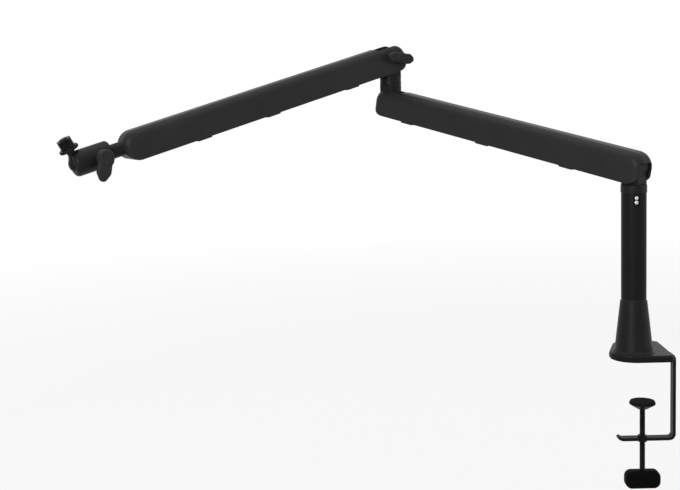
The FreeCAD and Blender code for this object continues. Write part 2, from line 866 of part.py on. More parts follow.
def ball_housing():
    """A sleeve with a lip in front that holds the ball, and a notch that lets the stud lie over."""
    front = ball_place + mouth_reach
    body = rod(housing_radius, vector(housing_start + cap_flange_height), vector(front))
    body = rounded(body, housing_front_round, end_at(front))
    boss = rod(boss_radius, vector(lever_place), vector(lever_place, housing_radius + boss_height))
    hollow = rod(housing_bore, vector(housing_start), vector(ball_place))
    hollow = hollow.fuse(ball(ball_radius + ball_gap, vector(ball_place)))
    notch_half = stud_neck_radius + stud_notch_gap
    notch = box((ball_place, front + overrun), both(notch_half), (0.0, housing_radius + overrun))
    notch_end = vector(ball_place, 0.0, housing_radius + overrun)
    notch = notch.fuse(rod(notch_half, vector(ball_place), notch_end))
    outside = vector(lever_place, housing_radius + overrun)
    screw_hole = rod(pressure_screw_radius + running_gap, vector(lever_place), outside)
    return body.fuse(boss).cut(hollow).cut(notch).cut(screw_hole)


def ball_seat():
    """The cup behind the ball, pushed forward by the head lever's screw."""
    rear = lever_place + pressure_screw_radius + seat_gap
    cup = rod(housing_bore - seat_gap, vector(rear), vector(rear + seat_length))
    cup = chamfered(cup, seat_edge, end_at(rear))
    return cup.cut(ball(ball_radius + ball_gap, vector(ball_place)))


def head_lever_seat():
    return housing_radius + boss_height + body_gap


def pressure_screw():
    """The head lever's screw, with a pointed tip that wedges the seat forward."""
    tip = vector(lever_place, pressure_screw_tip)
    shoulder = tip + vector(y=pressure_screw_radius)
    end = vector(lever_place, head_lever_seat() + lever_hub_height - lever_bolt_cover)
    point = tapered_rod(pressure_screw_point_radius, pressure_screw_radius, tip, shoulder)
    return point.fuse(rod(pressure_screw_radius, shoulder, end))


def head_lever():
    reaches = [head_lever_reach]
    tight_radius = pressure_screw_radius - running_gap
    bolt_depth = lever_hub_height - lever_bolt_cover
    lever = lock_lever(head_lever_hub_radius, reaches, head_lever_width, tight_radius, bolt_depth)
    return turned_lever(lever, vector(lever_place, head_lever_seat()), head_lever_angle)


def ball_stud():
    """The ball with its neck and threaded end, along +Z from the middle of the ball."""
    thread = rod(stud_thread_radius, vector(z=ring_distance), vector(z=stud_length))
    thread = chamfered(thread, stud_chamfer, level_at(stud_length))
    neck = rod(stud_neck_radius, vector(), vector(z=ring_distance))
    return ball(ball_radius, vector()).fuse(neck).fuse(thread)


def lock_ring():
    """The round flange under the microphone, which turns on the thread to lock it."""
    top = ring_distance + ring_thickness
    ring = sleeve(ring_radius, stud_thread_radius + running_gap, vector(z=ring_distance), vector(z=top))
    outer = [edge for edge in ring.Edges if edge.BoundBox.XLength > 2 * ring_radius - same]
    return ring.makeFillet(ring_round, [edge for edge in outer if edge.BoundBox.ZLength < same])


def thread_adapter():
    start = ring_distance + ring_thickness + body_gap
    end = start + adapter_length
    adapter = rod(adapter_radius, vector(z=start), vector(z=end))
    adapter = chamfered(adapter, adapter_chamfer, level_at(end))
    return adapter.cut(rod(stud_thread_radius, vector(), vector(z=end + overrun)))


# Post and base


def post_tube():
    top = shoulder_height + collar_bottom
    tube = sleeve(post_radius, post_inner_radius, vector(z=post_bottom), vector(z=top))
    turn = math.radians(post_screw_heading)
    outward = vector(math.cos(turn), math.sin(turn))
    middle = shoulder_height + post_screw_height
    straight = post_slot_height / 2 - post_slot_half_width
    ends = [vector(z=middle - straight), vector(z=middle + straight)]
    for end in ends:
        tube = tube.cut(rod(post_slot_half_width, end, end + outward * (post_radius + overrun)))
    window = box((0.0, post_radius + overrun), both(post_slot_half_width), both(straight))
    return tube.cut(placed(window, frame_at(vector(z=middle), post_screw_heading)))


def base_spindle():
    """Pressed into the foot of the post, and free to turn in the bush."""
    bottom = plate_top + spindle_tip_gap
    shaft = rod(spindle_radius, vector(z=bottom), vector(z=post_bottom))
    shaft = chamfered(shaft, spindle_tip_chamfer, level_at(bottom))
    plug = rod(post_inner_radius, vector(z=post_bottom), vector(z=post_bottom + spindle_plug_length))
    return shaft.fuse(plug)


def socket_bush():
    bottom = plate_top + bush_floor_gap
    inside = spindle_radius + running_gap
    collar_end = cone_top + bush_collar_height
    body = sleeve(bush_radius, inside, vector(z=bottom), vector(z=cone_top))
    return body.fuse(sleeve(bush_collar_radius, inside, vector(z=cone_top), vector(z=collar_end)))


def plate_layer(inset, right, z_range):
    """A layer in the outline of the plate, which is round about the post and square on the right."""
    front = plate_front_radius - inset
    back = plate_back_depth - inset
    back_radius = plate_back_radius - inset
    corner = plate_corner - inset
    far = right - corner
    middle = vector()
    rear = vector(plate_back_place, 0.0, back - back_radius)
    spread = math.acos((front - back_radius) / rear.Length)
    side = math.degrees(math.atan2(rear.z, rear.x) + spread)
    edges = [
        bend(middle, front, side, 270),
        line(polar(middle, front, 270), vector(far, 0.0, -front)),
        bend(vector(far, 0.0, corner - front), corner, 270, 360),
        line(vector(right, 0.0, corner - front), vector(right, 0.0, back - corner)),
        bend(vector(far, 0.0, back - corner), corner, 0, 90),
        line(vector(far, 0.0, back), polar(rear, back_radius, 90)),
        bend(rear, back_radius, 90, side),
        line(polar(rear, back_radius, side), polar(middle, front, side)),
    ]
    layer = side_prism(edges, (-z_range[1], -z_range[0]))
    layer.rotate(vector(), vector(1.0), -90)
    return layer


def flange_screw_places():
    places = []
    for step in range(flange_screw_count):
        turn = 2 * math.pi * (step + 0.5) / flange_screw_count
        outward = vector(math.cos(turn), math.sin(turn))
        places.append(outward * flange_screw_circle + vector(z=plate_bottom))
    return places


def flange_screw():
    """A countersunk screw that points up."""
    sink = flange_screw_head_radius - flange_screw_radius
    head = tapered_rod(flange_screw_head_radius, flange_screw_radius, vector(), vector(z=sink))
    return head.fuse(rod(flange_screw_radius, vector(z=sink), vector(z=flange_screw_length)))


def flange_screws():
    return [aimed(flange_screw(), place, vector(z=1.0)) for place in flange_screw_places()]


def base_socket():
    """The flange that lies on the bracket, with the cone that holds the bush."""
    flange = plate_layer(flange_inset, plate_right - flange_right_inset, (plate_top, flange_top))
    flange = rounded(flange, flange_round, level_at(flange_top))
    foot = cone_bottom_radius + cone_foot_round
    cone = turned([
        (0.0, plate_top),
        (foot, plate_top),
        (foot, flange_top),
        (cone_bottom_radius, flange_top + cone_foot_round),
        (cone_top_radius, cone_top - cone_rim),
        (cone_top_radius - cone_rim, cone_top),
        (0.0, cone_top),
    ])
    socket = flange.fuse(cone).cut(rod(bush_radius, vector(), vector(z=cone_top + overrun)))
    for screw in flange_screws():
        socket = socket.cut(screw)
    return socket


def strap_path():
    """The middle line of the bracket's strap, from the plate down the leg and along the jaw to its lip."""
    middle = plate_thickness / 2
    level = plate_bottom + middle
    leg = leg_outside - middle
    jaw = jaw_top - middle
    high_bend = vector(leg - bend_radius, 0.0, level - bend_radius)
    low_bend = vector(leg - bend_radius, 0.0, jaw + bend_radius)
    lip_bend = vector(jaw_tip, 0.0, jaw + jaw_lip_radius)
    return [
        line(vector(plate_right - plate_corner, 0.0, level), polar(high_bend, bend_radius, 90)),
        bend(high_bend, bend_radius, 90, 0),
        line(polar(high_bend, bend_radius, 0), polar(low_bend, bend_radius, 0)),
        bend(low_bend, bend_radius, 0, -90),
        line(polar(low_bend, bend_radius, -90), polar(lip_bend, jaw_lip_radius, -90)),
        bend(lip_bend, jaw_lip_radius, -90, -90 - jaw_lip_angle),
    ]


def clamp_bracket():
    """A round-ended plate, with a narrower strap bent down from it and back under the desk."""
    plate = plate_layer(0.0, plate_right, (plate_bottom, plate_top))
    path = Part.Wire(strap_path())
    start = path.Vertexes[0].Point
    half = plate_thickness / 2
    side = leg_width / 2
    offsets = ((-side, -half), (side, -half), (side, half), (-side, half))
    corners = [start + vector(0.0, y, z) for y, z in offsets]
    section = Part.makePolygon(corners + corners[:1])
    strap = path.makePipeShell([section], True, True)
    boss = rod(jaw_boss_radius, vector(screw_offset, 0.0, jaw_bottom - jaw_boss_height),
               vector(screw_offset, 0.0, jaw_top + jaw_boss_height))
    bracket = plate.fuse(strap).fuse(boss).removeSplitter()
    thread = rod(clamp_screw_radius + running_gap, vector(screw_offset, 0.0, jaw_bottom - overrun),
                 vector(screw_offset, 0.0, jaw_top + overrun))
    bracket = bracket.cut(thread)
    for screw in flange_screws():
        bracket = bracket.cut(screw)
    return bracket


def desk_pad():
    return plate_layer(desk_pad_inset, plate_right - desk_pad_inset, (0.0, desk_pad_thickness))


# Clamp screw


def pressure_pad():
    """A saucer with a socket below for the screw's ball end."""
    top = pad_top - pad_rubber_thickness
    saucer = turned([
        (0.0, top),
        (pad_radius, top),
        (pad_radius, top - pad_rim),
        (pad_hub_radius, pad_bottom),
        (0.0, pad_bottom),
    ])
    saucer.translate(vector(screw_offset))
    middle = vector(screw_offset, 0.0, screw_ball_height)
    socket = ball(pad_ball_radius + running_gap, middle)
    mouth = rod(clamp_screw_radius + body_gap, vector(screw_offset, 0.0, pad_bottom - overrun), middle)
    return saucer.cut(socket).cut(mouth)


def pad_rubber():
    base = vector(screw_offset, 0.0, pad_top - pad_rubber_thickness)
    return rod(pad_radius - pad_rubber_inset, base, base + vector(z=pad_rubber_thickness))


def knob_pin_hole():
    place = vector(screw_offset, 0.0, knob_top - knob_screw_depth / 2)
    reach = vector(y=knob_depth / 2 - knob_pin_inset)
    return rod(knob_pin_radius, place - reach, place + reach)


def clamp_screw():
    end = vector(screw_offset, 0.0, knob_top - knob_screw_depth)
    middle = vector(screw_offset, 0.0, screw_ball_height)
    return ball(pad_ball_radius, middle).fuse(rod(clamp_screw_radius, end, middle)).cut(knob_pin_hole())


def clamp_knob():
    """A flat oblong grip with rounded corners."""
    ends = (screw_offset - knob_length / 2, screw_offset + knob_length / 2)
    grip = box(ends, both(knob_depth / 2), (knob_top - knob_height, knob_top))
    grip = rounded(grip, knob_corner, lambda bounds: bounds.YLength > same)
    grip = rounded(grip, knob_round, side_at(*both(knob_depth / 2)))
    bore_end = vector(screw_offset, 0.0, knob_top - knob_screw_depth)
    bore = rod(clamp_screw_radius, bore_end, vector(screw_offset))
    return grip.cut(bore).cut(knob_pin_hole())


# Places of the members

shoulder = vector(z=shoulder_height)
base_frame = FreeCAD.Placement()
post_frame = frame_at(shoulder, lower_heading)
lower_frame = frame_at(shoulder, lower_heading, lower_rise)
link_frame = frame_at(post_frame.multVec(vector(link_x, 0.0, link_z)), lower_heading, lower_rise)
elbow_low = lower_frame.multVec(vector(arm_span))
elbow_high = elbow_low + vector(z=elbow_spacing)
lower_knuckle_frame = frame_at(elbow_low, lower_heading)
upper_knuckle_frame = frame_at(elbow_high, upper_heading)
upper_frame = frame_at(elbow_high, upper_heading, upper_rise)
stud_turn = FreeCAD.Placement(vector(ball_place), FreeCAD.Rotation(vector(y=1.0), 90 - stud_angle))
stud_frame = upper_frame.multiply(stud_turn)

nodes = {
    "clamp_bracket": (clamp_bracket(), base_frame),
    "desk_pad": (desk_pad(), base_frame),
    "base_socket": (base_socket(), base_frame),
    "flange_screws": (group(flange_screws()), base_frame),
    "socket_bush": (socket_bush(), base_frame),
    "pressure_pad": (pressure_pad(), base_frame),
    "pad_rubber": (pad_rubber(), base_frame),
    "clamp_screw": (clamp_screw(), base_frame),
    "clamp_knob": (clamp_knob(), base_frame),
    "knob_pin": (knob_pin_hole(), base_frame),
    "post_tube": (post_tube(), base_frame),
    "base_spindle": (base_spindle(), base_frame),
    "shoulder_knuckle": (shoulder_knuckle(), post_frame),
    "post_screws": (group(post_screws_in_knuckle()), post_frame),
    "shoulder_link_pin": (link_pin(), post_frame),
    "shoulder_spring_pin": (spring_pin(), post_frame),
    "lower_arm_shell": (lower_arm_shell(), lower_frame),
    "shoulder_pin": (pivot_pin(0.0), lower_frame),
    "lower_elbow_pin": (pivot_pin(arm_span), lower_frame),
    "lower_friction_washers": (group(friction_washers(0.0) + friction_washers(arm_span)), lower_frame),
    "lower_cable_clips": (cable_clips(lower_clip_shares), lower_frame),
    "lower_balance_spring": (balance_spring(lower_rise), lower_frame),
    "lower_spring_anchor": (spring_anchor(), lower_frame),
    "lower_anchor_screw": (back_screw(anchor_screw_place(), anchor_height), lower_frame),
    "parallel_link": (link_bar(), link_frame),
    "elbow_lower_knuckle": (elbow_lower_knuckle(), lower_knuckle_frame),
    "elbow_link_pin": (link_pin(), lower_knuckle_frame),
    "swivel_spindle": (swivel_spindle(), lower_knuckle_frame),
    "swivel_washer": (swivel_washer(), lower_knuckle_frame),
    "elbow_upper_knuckle": (elbow_upper_knuckle(), upper_knuckle_frame),
    "elbow_spring_pin": (spring_pin(), upper_knuckle_frame),
    "swivel_screw": (swivel_screw(), upper_knuckle_frame),
    "upper_arm_shell": (upper_arm_shell(), upper_frame),
    "elbow_bolt": (elbow_bolt(), upper_frame),
    "elbow_lever_washer": (elbow_lever_washer(), upper_frame),
    "upper_friction_washers": (group(friction_washers(0.0)), upper_frame),
    "upper_cable_clips": (cable_clips(upper_clip_shares), upper_frame),
    "upper_balance_spring": (balance_spring(upper_rise), upper_frame),
    "upper_spring_anchor": (spring_anchor(), upper_frame),
    "upper_anchor_screw": (back_screw(anchor_screw_place(), anchor_height), upper_frame),
    "tip_neck": (tip_neck(), upper_frame),
    "tip_screws": (group([back_screw(place, 0.0) for place in tip_screw_places()]), upper_frame),
    "neck_screw": (neck_screw(), upper_frame),
    "elbow_lever": (elbow_lever(), upper_frame),
    "ball_housing": (ball_housing(), upper_frame),
    "housing_cap": (housing_cap(), upper_frame),
    "ball_seat": (ball_seat(), upper_frame),
    "head_lever": (head_lever(), upper_frame),
    "pressure_screw": (pressure_screw(), upper_frame),
    "ball_stud": (ball_stud(), stud_frame),
    "thread_adapter": (thread_adapter(), stud_frame),
    "lock_ring": (lock_ring(), stud_frame),
}

os.makedirs("parts", exist_ok=True)
for name, (shape, frame) in nodes.items():
    placed(shape, frame).exportStep("parts/" + name + ".step")
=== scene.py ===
import json
import math
import bpy
from mathutils import Matrix, Vector


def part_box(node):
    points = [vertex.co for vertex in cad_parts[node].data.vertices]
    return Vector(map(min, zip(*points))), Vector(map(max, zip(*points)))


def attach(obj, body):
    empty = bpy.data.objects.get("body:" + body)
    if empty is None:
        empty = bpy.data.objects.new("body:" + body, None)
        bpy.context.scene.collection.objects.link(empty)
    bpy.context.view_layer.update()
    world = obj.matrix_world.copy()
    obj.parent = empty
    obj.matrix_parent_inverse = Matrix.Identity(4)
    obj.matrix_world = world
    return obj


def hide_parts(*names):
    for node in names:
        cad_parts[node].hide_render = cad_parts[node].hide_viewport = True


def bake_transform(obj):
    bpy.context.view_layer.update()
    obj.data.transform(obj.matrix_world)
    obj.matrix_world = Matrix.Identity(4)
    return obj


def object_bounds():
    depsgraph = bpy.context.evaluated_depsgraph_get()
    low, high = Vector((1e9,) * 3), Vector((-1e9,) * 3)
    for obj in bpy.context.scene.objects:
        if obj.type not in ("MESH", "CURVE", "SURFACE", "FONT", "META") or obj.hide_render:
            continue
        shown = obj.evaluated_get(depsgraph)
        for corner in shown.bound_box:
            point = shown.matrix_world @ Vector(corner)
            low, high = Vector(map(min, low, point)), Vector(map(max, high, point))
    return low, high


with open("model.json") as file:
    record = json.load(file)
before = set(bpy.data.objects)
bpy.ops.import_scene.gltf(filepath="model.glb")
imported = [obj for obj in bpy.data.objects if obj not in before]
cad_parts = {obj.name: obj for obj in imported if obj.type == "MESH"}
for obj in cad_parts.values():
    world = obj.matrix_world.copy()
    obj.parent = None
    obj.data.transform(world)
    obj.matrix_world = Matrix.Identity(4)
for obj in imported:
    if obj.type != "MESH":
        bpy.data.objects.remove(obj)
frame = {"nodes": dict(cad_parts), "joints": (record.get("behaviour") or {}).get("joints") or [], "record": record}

# Looks of the microphone boom arm: coated metal, moulded plastic, rubber and bare steel, with the
# threads, springs and grips that are finer than the solids. Lengths are metres, in the solids' frame,
# and angles are degrees.
cad_low, cad_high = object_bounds()
mm = 0.001

# Picture frame and camera
picture_width = 680
focal_pixels = 1200
camera_place = (-0.304, -1.2355, 0.304)
camera_pitch = 5.5
camera_roll = -1.3
camera_shift_pixels = -56.4
camera_far_limit = 100.0
sensor_width = 36.0

# Light and floor
surround_light = 0.25
arms_middle = (-0.2, 0.1, 0.15)
floor_gap = 0.5 * mm
floor_size = 30.0
floor_grey = 0.75
floor_roughness = 0.9
floor_white_near = 0.85
floor_white_from = 0.9
floor_white_to = 2.2

# Finishes: the part of a noise's range that carries its pattern, and how far the orange peel of a
# coat changes its roughness
noise_low = 0.3
noise_high = 0.7
peel_smoother = 0.05
peel_rougher = 0.07

# Springs, as drawn in the solids
spring_pin_rise = 8.5 * mm
spring_anchor = Vector((160 * mm, 0.0, 3 * mm))
spring_wire = 1.6 * mm
spring_radius = 5.2 * mm
spring_coil_start = 28 * mm
spring_coil_length = 104 * mm
spring_pitch = 1.75 * mm
spring_end_share = 0.25
spring_lead_gap = 3 * spring_wire
spring_turn_steps = 14
wire_sides = 8
hook_radius = 2.7 * mm
hook_opens = 75
hook_closes = 300
hook_lead_share = 1.6
hook_drop_share = 0.3
hook_steps = 14

# The hook on the anchor mirrors the one on the pin
anchor_hook_opens = 180 - hook_closes + 360
anchor_hook_closes = 180 - hook_opens + 360

# Threads
clamp_thread_radius = 3.0 * mm
clamp_thread_pitch = 1.0 * mm
clamp_ball_radius = 3.8 * mm
clamp_neck_share = 0.92
clamp_ball_steps = 10
adapter_radius = 7.9375 * mm
adapter_pitch = 0.94 * mm
stud_radius = 4.7625 * mm
thread_depth_share = 0.55
thread_steps = 6
thread_sides = 28
adapter_sides = 2 * thread_sides

# Knurled lock ring
ring_radius = 10.8 * mm
ring_ridges = 60
ring_ridge_sides = 4
ring_ridge_depth = 0.35 * mm
ring_edge = 0.7 * mm

# Grip ribs on the lock levers
rib_starts_share = 0.5
rib_ends_share = 0.8
rib_spread_share = 0.56
rib_half_width = 0.5 * mm
rib_height = 0.3 * mm
rib_end_power = 8
rib_end_least = 0.02
rib_steps = 16
rib_sides = 8
paddle_below_cap = 2.1 * mm
lever_waist_share = 0.58
lever_tip_radius = 4.4 * mm
lever_tip_zone_share = 0.985
elbow_lever_width = 12.4 * mm
head_lever_width = 15.6 * mm

# Holding screws in the post
post_screw_radius = 2.2 * mm
post_screw_dome = 0.7 * mm
post_screw_flats = 2.0 * mm
post_screw_recess = 0.9 * mm
post_screw_shank_share = 0.6
post_screw_shoulder_share = 0.9
post_screw_shoulder_drop_share = 0.4
post_screw_top_share = 0.7
post_screw_sides = 24

# Edges sharper than this stay sharp in the shading
sharp_angle = 40

joints = {joint["name"]: joint for joint in frame["joints"]}


def joint_place(name):
    """The pivot of a joint."""
    return Vector(joints[name]["pos_m"])


def joint_axis(name):
    """The axis of a joint."""
    return Vector(joints[name]["axis"])


def member_frame(origin, x_axis, y_axis):
    """A frame as a matrix, from its origin and two of its axes."""
    z_axis = x_axis.cross(y_axis)
    turn = Matrix((x_axis, y_axis, z_axis)).transposed()
    return Matrix.Translation(origin) @ turn.to_4x4()


shoulder = joint_place("lower_arm_tilt")
elbow = joint_place("upper_arm_tilt")
lower_along = (joint_place("elbow_level") - shoulder).normalized()
lower_frame = member_frame(shoulder, lower_along, -joint_axis("lower_arm_tilt"))
upper_frame = member_frame(elbow, joint_axis("head_swivel"), joint_axis("elbow_lever_turn"))
stud_axis = joint_axis("lock_ring_turn")
stud_side = joint_axis("ball_tilt")
stud_frame = member_frame(joint_place("ball_tilt"), stud_side.cross(stud_axis), stud_side)


def node_points(name):
    """The points of a solid's mesh."""
    return [vertex.co for vertex in frame["nodes"][name].data.vertices]


def reach(name, origin, axis):
    """How far a solid lies along an axis from a point, as its least and greatest distance."""
    distances = [(place - origin).dot(axis) for place in node_points(name)]
    return min(distances), max(distances)


def add_object(name, data):
    """A new object in the scene."""
    made = bpy.data.objects.new(name, data)
    bpy.context.scene.collection.objects.link(made)
    return made


# Shader nodes


def new_material(name, shine=0.5, metallic=0.0):
    """A material and its shader, which has one shine and one share of metal all over."""
    material = bpy.data.materials.new(name)
    material.use_nodes = True
    shader = material.node_tree.nodes["Principled BSDF"]
    shader.inputs["Specular IOR Level"].default_value = shine
    shader.inputs["Metallic"].default_value = metallic
    return material, shader


def node(shader, kind, **values):
    """A new node beside the shader, with values for its sockets or settings."""
    made = shader.id_data.nodes.new(kind)
    for key, value in values.items():
        if key in made.inputs:
            made.inputs[key].default_value = value
        else:
            setattr(made, key, value)
    return made


def link(source, target):
    """Joins an output to an input."""
    target.id_data.links.new(source, target)


def object_places(shader, stretch=(1.0, 1.0, 1.0)):
    """Coordinates that ride with the piece, in metres."""
    places = node(shader, "ShaderNodeTexCoord")
    mapping = node(shader, "ShaderNodeMapping", Scale=stretch)
    link(places.outputs["Object"], mapping.inputs["Vector"])
    return mapping.outputs["Vector"]


def noise(shader, places, scale, detail=2.0):
    """A cloudy pattern."""
    made = node(shader, "ShaderNodeTexNoise", Scale=scale, Detail=detail)
    link(places, made.inputs["Vector"])
    return made.outputs["Fac"]


def ranged(shader, value, low, high, from_low=noise_low, from_high=noise_high):
    """A number that follows a pattern between two limits."""
    made = node(shader, "ShaderNodeMapRange")
    made.inputs["From Min"].default_value = from_low
    made.inputs["From Max"].default_value = from_high
    made.inputs["To Min"].default_value = low
    made.inputs["To Max"].default_value = high
    link(value, made.inputs["Value"])
    return made.outputs["Result"]


def mottled(shader, pattern, dark, light):
    """The colour follows a pattern between a dark and a light tone."""
    mix = node(shader, "ShaderNodeMix", data_type="RGBA")
    link(ranged(shader, pattern, 0.0, 1.0), mix.inputs["Factor"])
    for name, colour in (("A", dark), ("B", light)):
        socket = next(item for item in mix.inputs if item.name == name and item.type == "RGBA")
        socket.default_value = (*colour, 1.0)
    mixed = next(item for item in mix.outputs if item.type == "RGBA")
    link(mixed, shader.inputs["Base Color"])


def roughened(shader, pattern, low, high, **limits):
    """The roughness follows a pattern between two limits."""
    link(ranged(shader, pattern, low, high, **limits), shader.inputs["Roughness"])


def bumped(shader, pattern, strength, distance):
    """The surface rises and falls with a pattern."""
    made = node(shader, "ShaderNodeBump", Strength=strength, Distance=distance)
    link(pattern, made.inputs["Height"])
    link(made.outputs["Normal"], shader.inputs["Normal"])


# Materials


def coating(name, dark, light, dullness, shine):
    """Black powder coat: fine orange peel, faint mottling and a soft sheen."""
    material, shader = new_material(name, shine)
    places = object_places(shader)
    peel = noise(shader, places, scale=1500.0)
    mottled(shader, noise(shader, places, scale=28.0, detail=4.0), dark, light)
    roughened(shader, peel, dullness - peel_smoother, dullness + peel_rougher)
    bumped(shader, peel, strength=0.22, distance=0.05 * mm)
    return material


def moulded_plastic(name, dark, light, shine):
    """Moulded plastic with a fine spark-eroded grain."""
    material, shader = new_material(name, shine)
    places = object_places(shader)
    cells = node(shader, "ShaderNodeTexVoronoi", Scale=1600.0)
    link(places, cells.inputs["Vector"])
    grain = cells.outputs["Distance"]
    mottled(shader, noise(shader, places, scale=60.0, detail=3.0), dark, light)
    roughened(shader, grain, low=0.52, high=0.66, from_low=0.0, from_high=0.8)
    bumped(shader, grain, strength=0.3, distance=0.04 * mm)
    return material


def rubber(name, dark, light):
    """Dull rubber with a dusty mottling."""
    material, shader = new_material(name, shine=0.05)
    dust = noise(shader, object_places(shader), scale=420.0, detail=5.0)
    mottled(shader, dust, dark, light)
    roughened(shader, dust, low=0.74, high=0.92)
    bumped(shader, dust, strength=0.35, distance=0.08 * mm)
    return material


def black_oxide(name, dark, light):
    """Blackened steel with rubbed, slightly brighter patches."""
    material, shader = new_material(name, shine=0.1, metallic=0.55)
    rubbed = noise(shader, object_places(shader), scale=240.0, detail=6.0)
    mottled(shader, rubbed, dark, light)
    roughened(shader, rubbed, low=0.3, high=0.46)
    bumped(shader, rubbed, strength=0.1, distance=0.03 * mm)
    return material


def bare_steel(name, dark, light):
    """Zinc-plated steel with fine drawn lines."""
    material, shader = new_material(name, metallic=1.0)
    places = object_places(shader, stretch=(1.0, 1.0, 12.0))
    lines = noise(shader, places, scale=420.0, detail=4.0)
    mottled(shader, lines, dark, light)
    roughened(shader, lines, low=0.2, high=0.36)
    bumped(shader, lines, strength=0.12, distance=0.02 * mm)
    return material


slot_materials = {
    "arm_coat": coating("arm_coat", (0.0195, 0.0195, 0.02), (0.0235, 0.0235, 0.024),
                        dullness=0.38, shine=0.08),
    "cast_coat": coating("cast_coat", (0.0075, 0.0075, 0.0078), (0.0105, 0.0105, 0.0109),
                         dullness=0.4, shine=0.1),
    "steel_coat": coating("steel_coat", (0.008, 0.008, 0.0083), (0.0105, 0.0105, 0.0109),
                          dullness=0.36, shine=0.05),
    "black_plastic": moulded_plastic("black_plastic", (0.0175, 0.0175, 0.018), (0.023, 0.023, 0.0235),
                                     shine=0.12),
    "knob_plastic": moulded_plastic("knob_plastic", (0.002, 0.002, 0.002), (0.0035, 0.0035, 0.0035),
                                    shine=0.03),
    "bearing_plastic": moulded_plastic("bearing_plastic", (0.012, 0.012, 0.0125), (0.018, 0.018, 0.0185),
                                       shine=0.2),
    "pad_rubber": rubber("pad_rubber", (0.006, 0.006, 0.006), (0.011, 0.011, 0.011)),
    "black_steel": black_oxide("black_steel", (0.006, 0.006, 0.0065), (0.015, 0.015, 0.016)),
    "bright_steel": bare_steel("bright_steel", (0.52, 0.52, 0.5), (0.68, 0.68, 0.66)),
}


def dress_solids():
    """Each solid takes the material of its slot, and the screw in the elbow column a black one."""
    for entry in frame["record"]["subparts"]:
        slot = "black_steel" if entry["node"] == "swivel_screw" else entry["material_slot"]
        mesh = frame["nodes"][entry["node"]].data
        mesh.materials.clear()
        mesh.materials.append(slot_materials[slot])


# Building meshes from rings of points


def piece_from_rings(name, rings_list, slot, body=None, capped=True):
    """A piece skinned over lists of rings, each list a tube with capped ends, or else bent round so
    that its last ring joins its first."""
    points = []
    faces = []
    for rings in rings_list:
        first = len(points)
        sides = len(rings[0])
        for ring in rings:
            points.extend(ring)
        last = len(points) - sides
        for row in range(len(rings) - 1):
            for side in range(sides):
                here = first + row * sides + side
                beside = first + row * sides + (side + 1) % sides
                faces.append((here, beside, beside + sides, here + sides))
        if capped:
            faces.append(tuple(first + side for side in reversed(range(sides))))
            faces.append(tuple(last + side for side in range(sides)))
        else:
            for side in range(sides):
                beside = (side + 1) % sides
                faces.append((last + side, last + beside, first + beside, first + side))
    mesh = bpy.data.meshes.new(name)
    mesh.from_pydata(points, [], faces)
    mesh.validate()
    mesh.polygons.foreach_set("use_smooth", [True] * len(mesh.polygons))
    mesh.set_sharp_from_angle(angle=math.radians(sharp_angle))
    mesh.materials.append(slot_materials[slot])
    piece = add_object(name, mesh)
    if body:
        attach(piece, body)
    return piece


def circle(place, radius, height, sides):
    """A ring about a frame's Z axis; the radius may depend on the turn."""
    ring = []
    for side in range(sides):
        turn = 2 * math.pi * side / sides
        here = radius(turn) if callable(radius) else radius
        ring.append(place @ Vector((here * math.cos(turn), here * math.sin(turn), height)))
    return ring


def oval(middle, across, up, half_width, half_height, sides):
    """A ring about a point, with two directions and the sizes along them."""
    ring = []
    for side in range(sides):
        turn = 2 * math.pi * side / sides
        ring.append(middle + across * (half_width * math.cos(turn)) + up * (half_height * math.sin(turn)))
    return ring


def tube_along(path, radius, sides):
    """Rings about a path, turned as little as possible from one to the next."""
    rings = []
    side = None
    for index, place in enumerate(path):
        before = path[max(index - 1, 0)]
        after = path[min(index + 1, len(path) - 1)]
        ahead = (after - before).normalized()
        if side is None:
            side = ahead.orthogonal()
        side = (side - ahead * side.dot(ahead)).normalized()
        rings.append(oval(place, side, ahead.cross(side), radius, radius, sides))
    return rings


# Springs


def hook_points(pin, along, up, start, end):
    """Points of a hook about its pin, between two angles from the spring's line."""
    points = []
    for step in range(hook_steps + 1):
        turn = math.radians(start + (end - start) * step / hook_steps)
        points.append(pin + (along * math.cos(turn) + up * math.sin(turn)) * hook_radius)
    return points


def lead_points(pin, along, up, length):
    """Points of the straight wire from a hook to the coils."""
    leaving = along * (hook_radius * hook_lead_share) - up * (hook_radius * hook_drop_share)
    return [pin + leaving, pin + along * (length / 2), pin + along * (length - spring_lead_gap)]


def coil_points(start, along, up, across):
    """Points of the coils, which draw in over their first and last turn."""
    steps = int(spring_coil_length / spring_pitch * spring_turn_steps)
    points = []
    for step in range(steps + 1):
        turn = 2 * math.pi * step / spring_turn_steps
        share = min(1.0, step / spring_turn_steps, (steps - step) / spring_turn_steps)
        radius = spring_radius * (spring_end_share + (1 - spring_end_share) * share)
        middle = start + along * (spring_coil_length * step / steps)
        points.append(middle + (up * math.cos(turn) + across * math.sin(turn)) * radius)
    return points


def spring_path(hook, anchor, across):
    """The wire of a close-wound spring: a hook, a lead, the coils, a second lead and a second hook."""
    along = (anchor - hook).normalized()
    up = across.cross(along)
    coil_start = hook + along * spring_coil_start
    tail = (anchor - coil_start).length - spring_coil_length
    path = hook_points(hook, along, up, hook_opens, hook_closes)
    path += lead_points(hook, along, up, spring_coil_start)
    path += coil_points(coil_start, along, up, across)
    path += reversed(lead_points(anchor, -along, up, tail))
    path += hook_points(anchor, along, up, anchor_hook_opens, anchor_hook_closes)
    return path


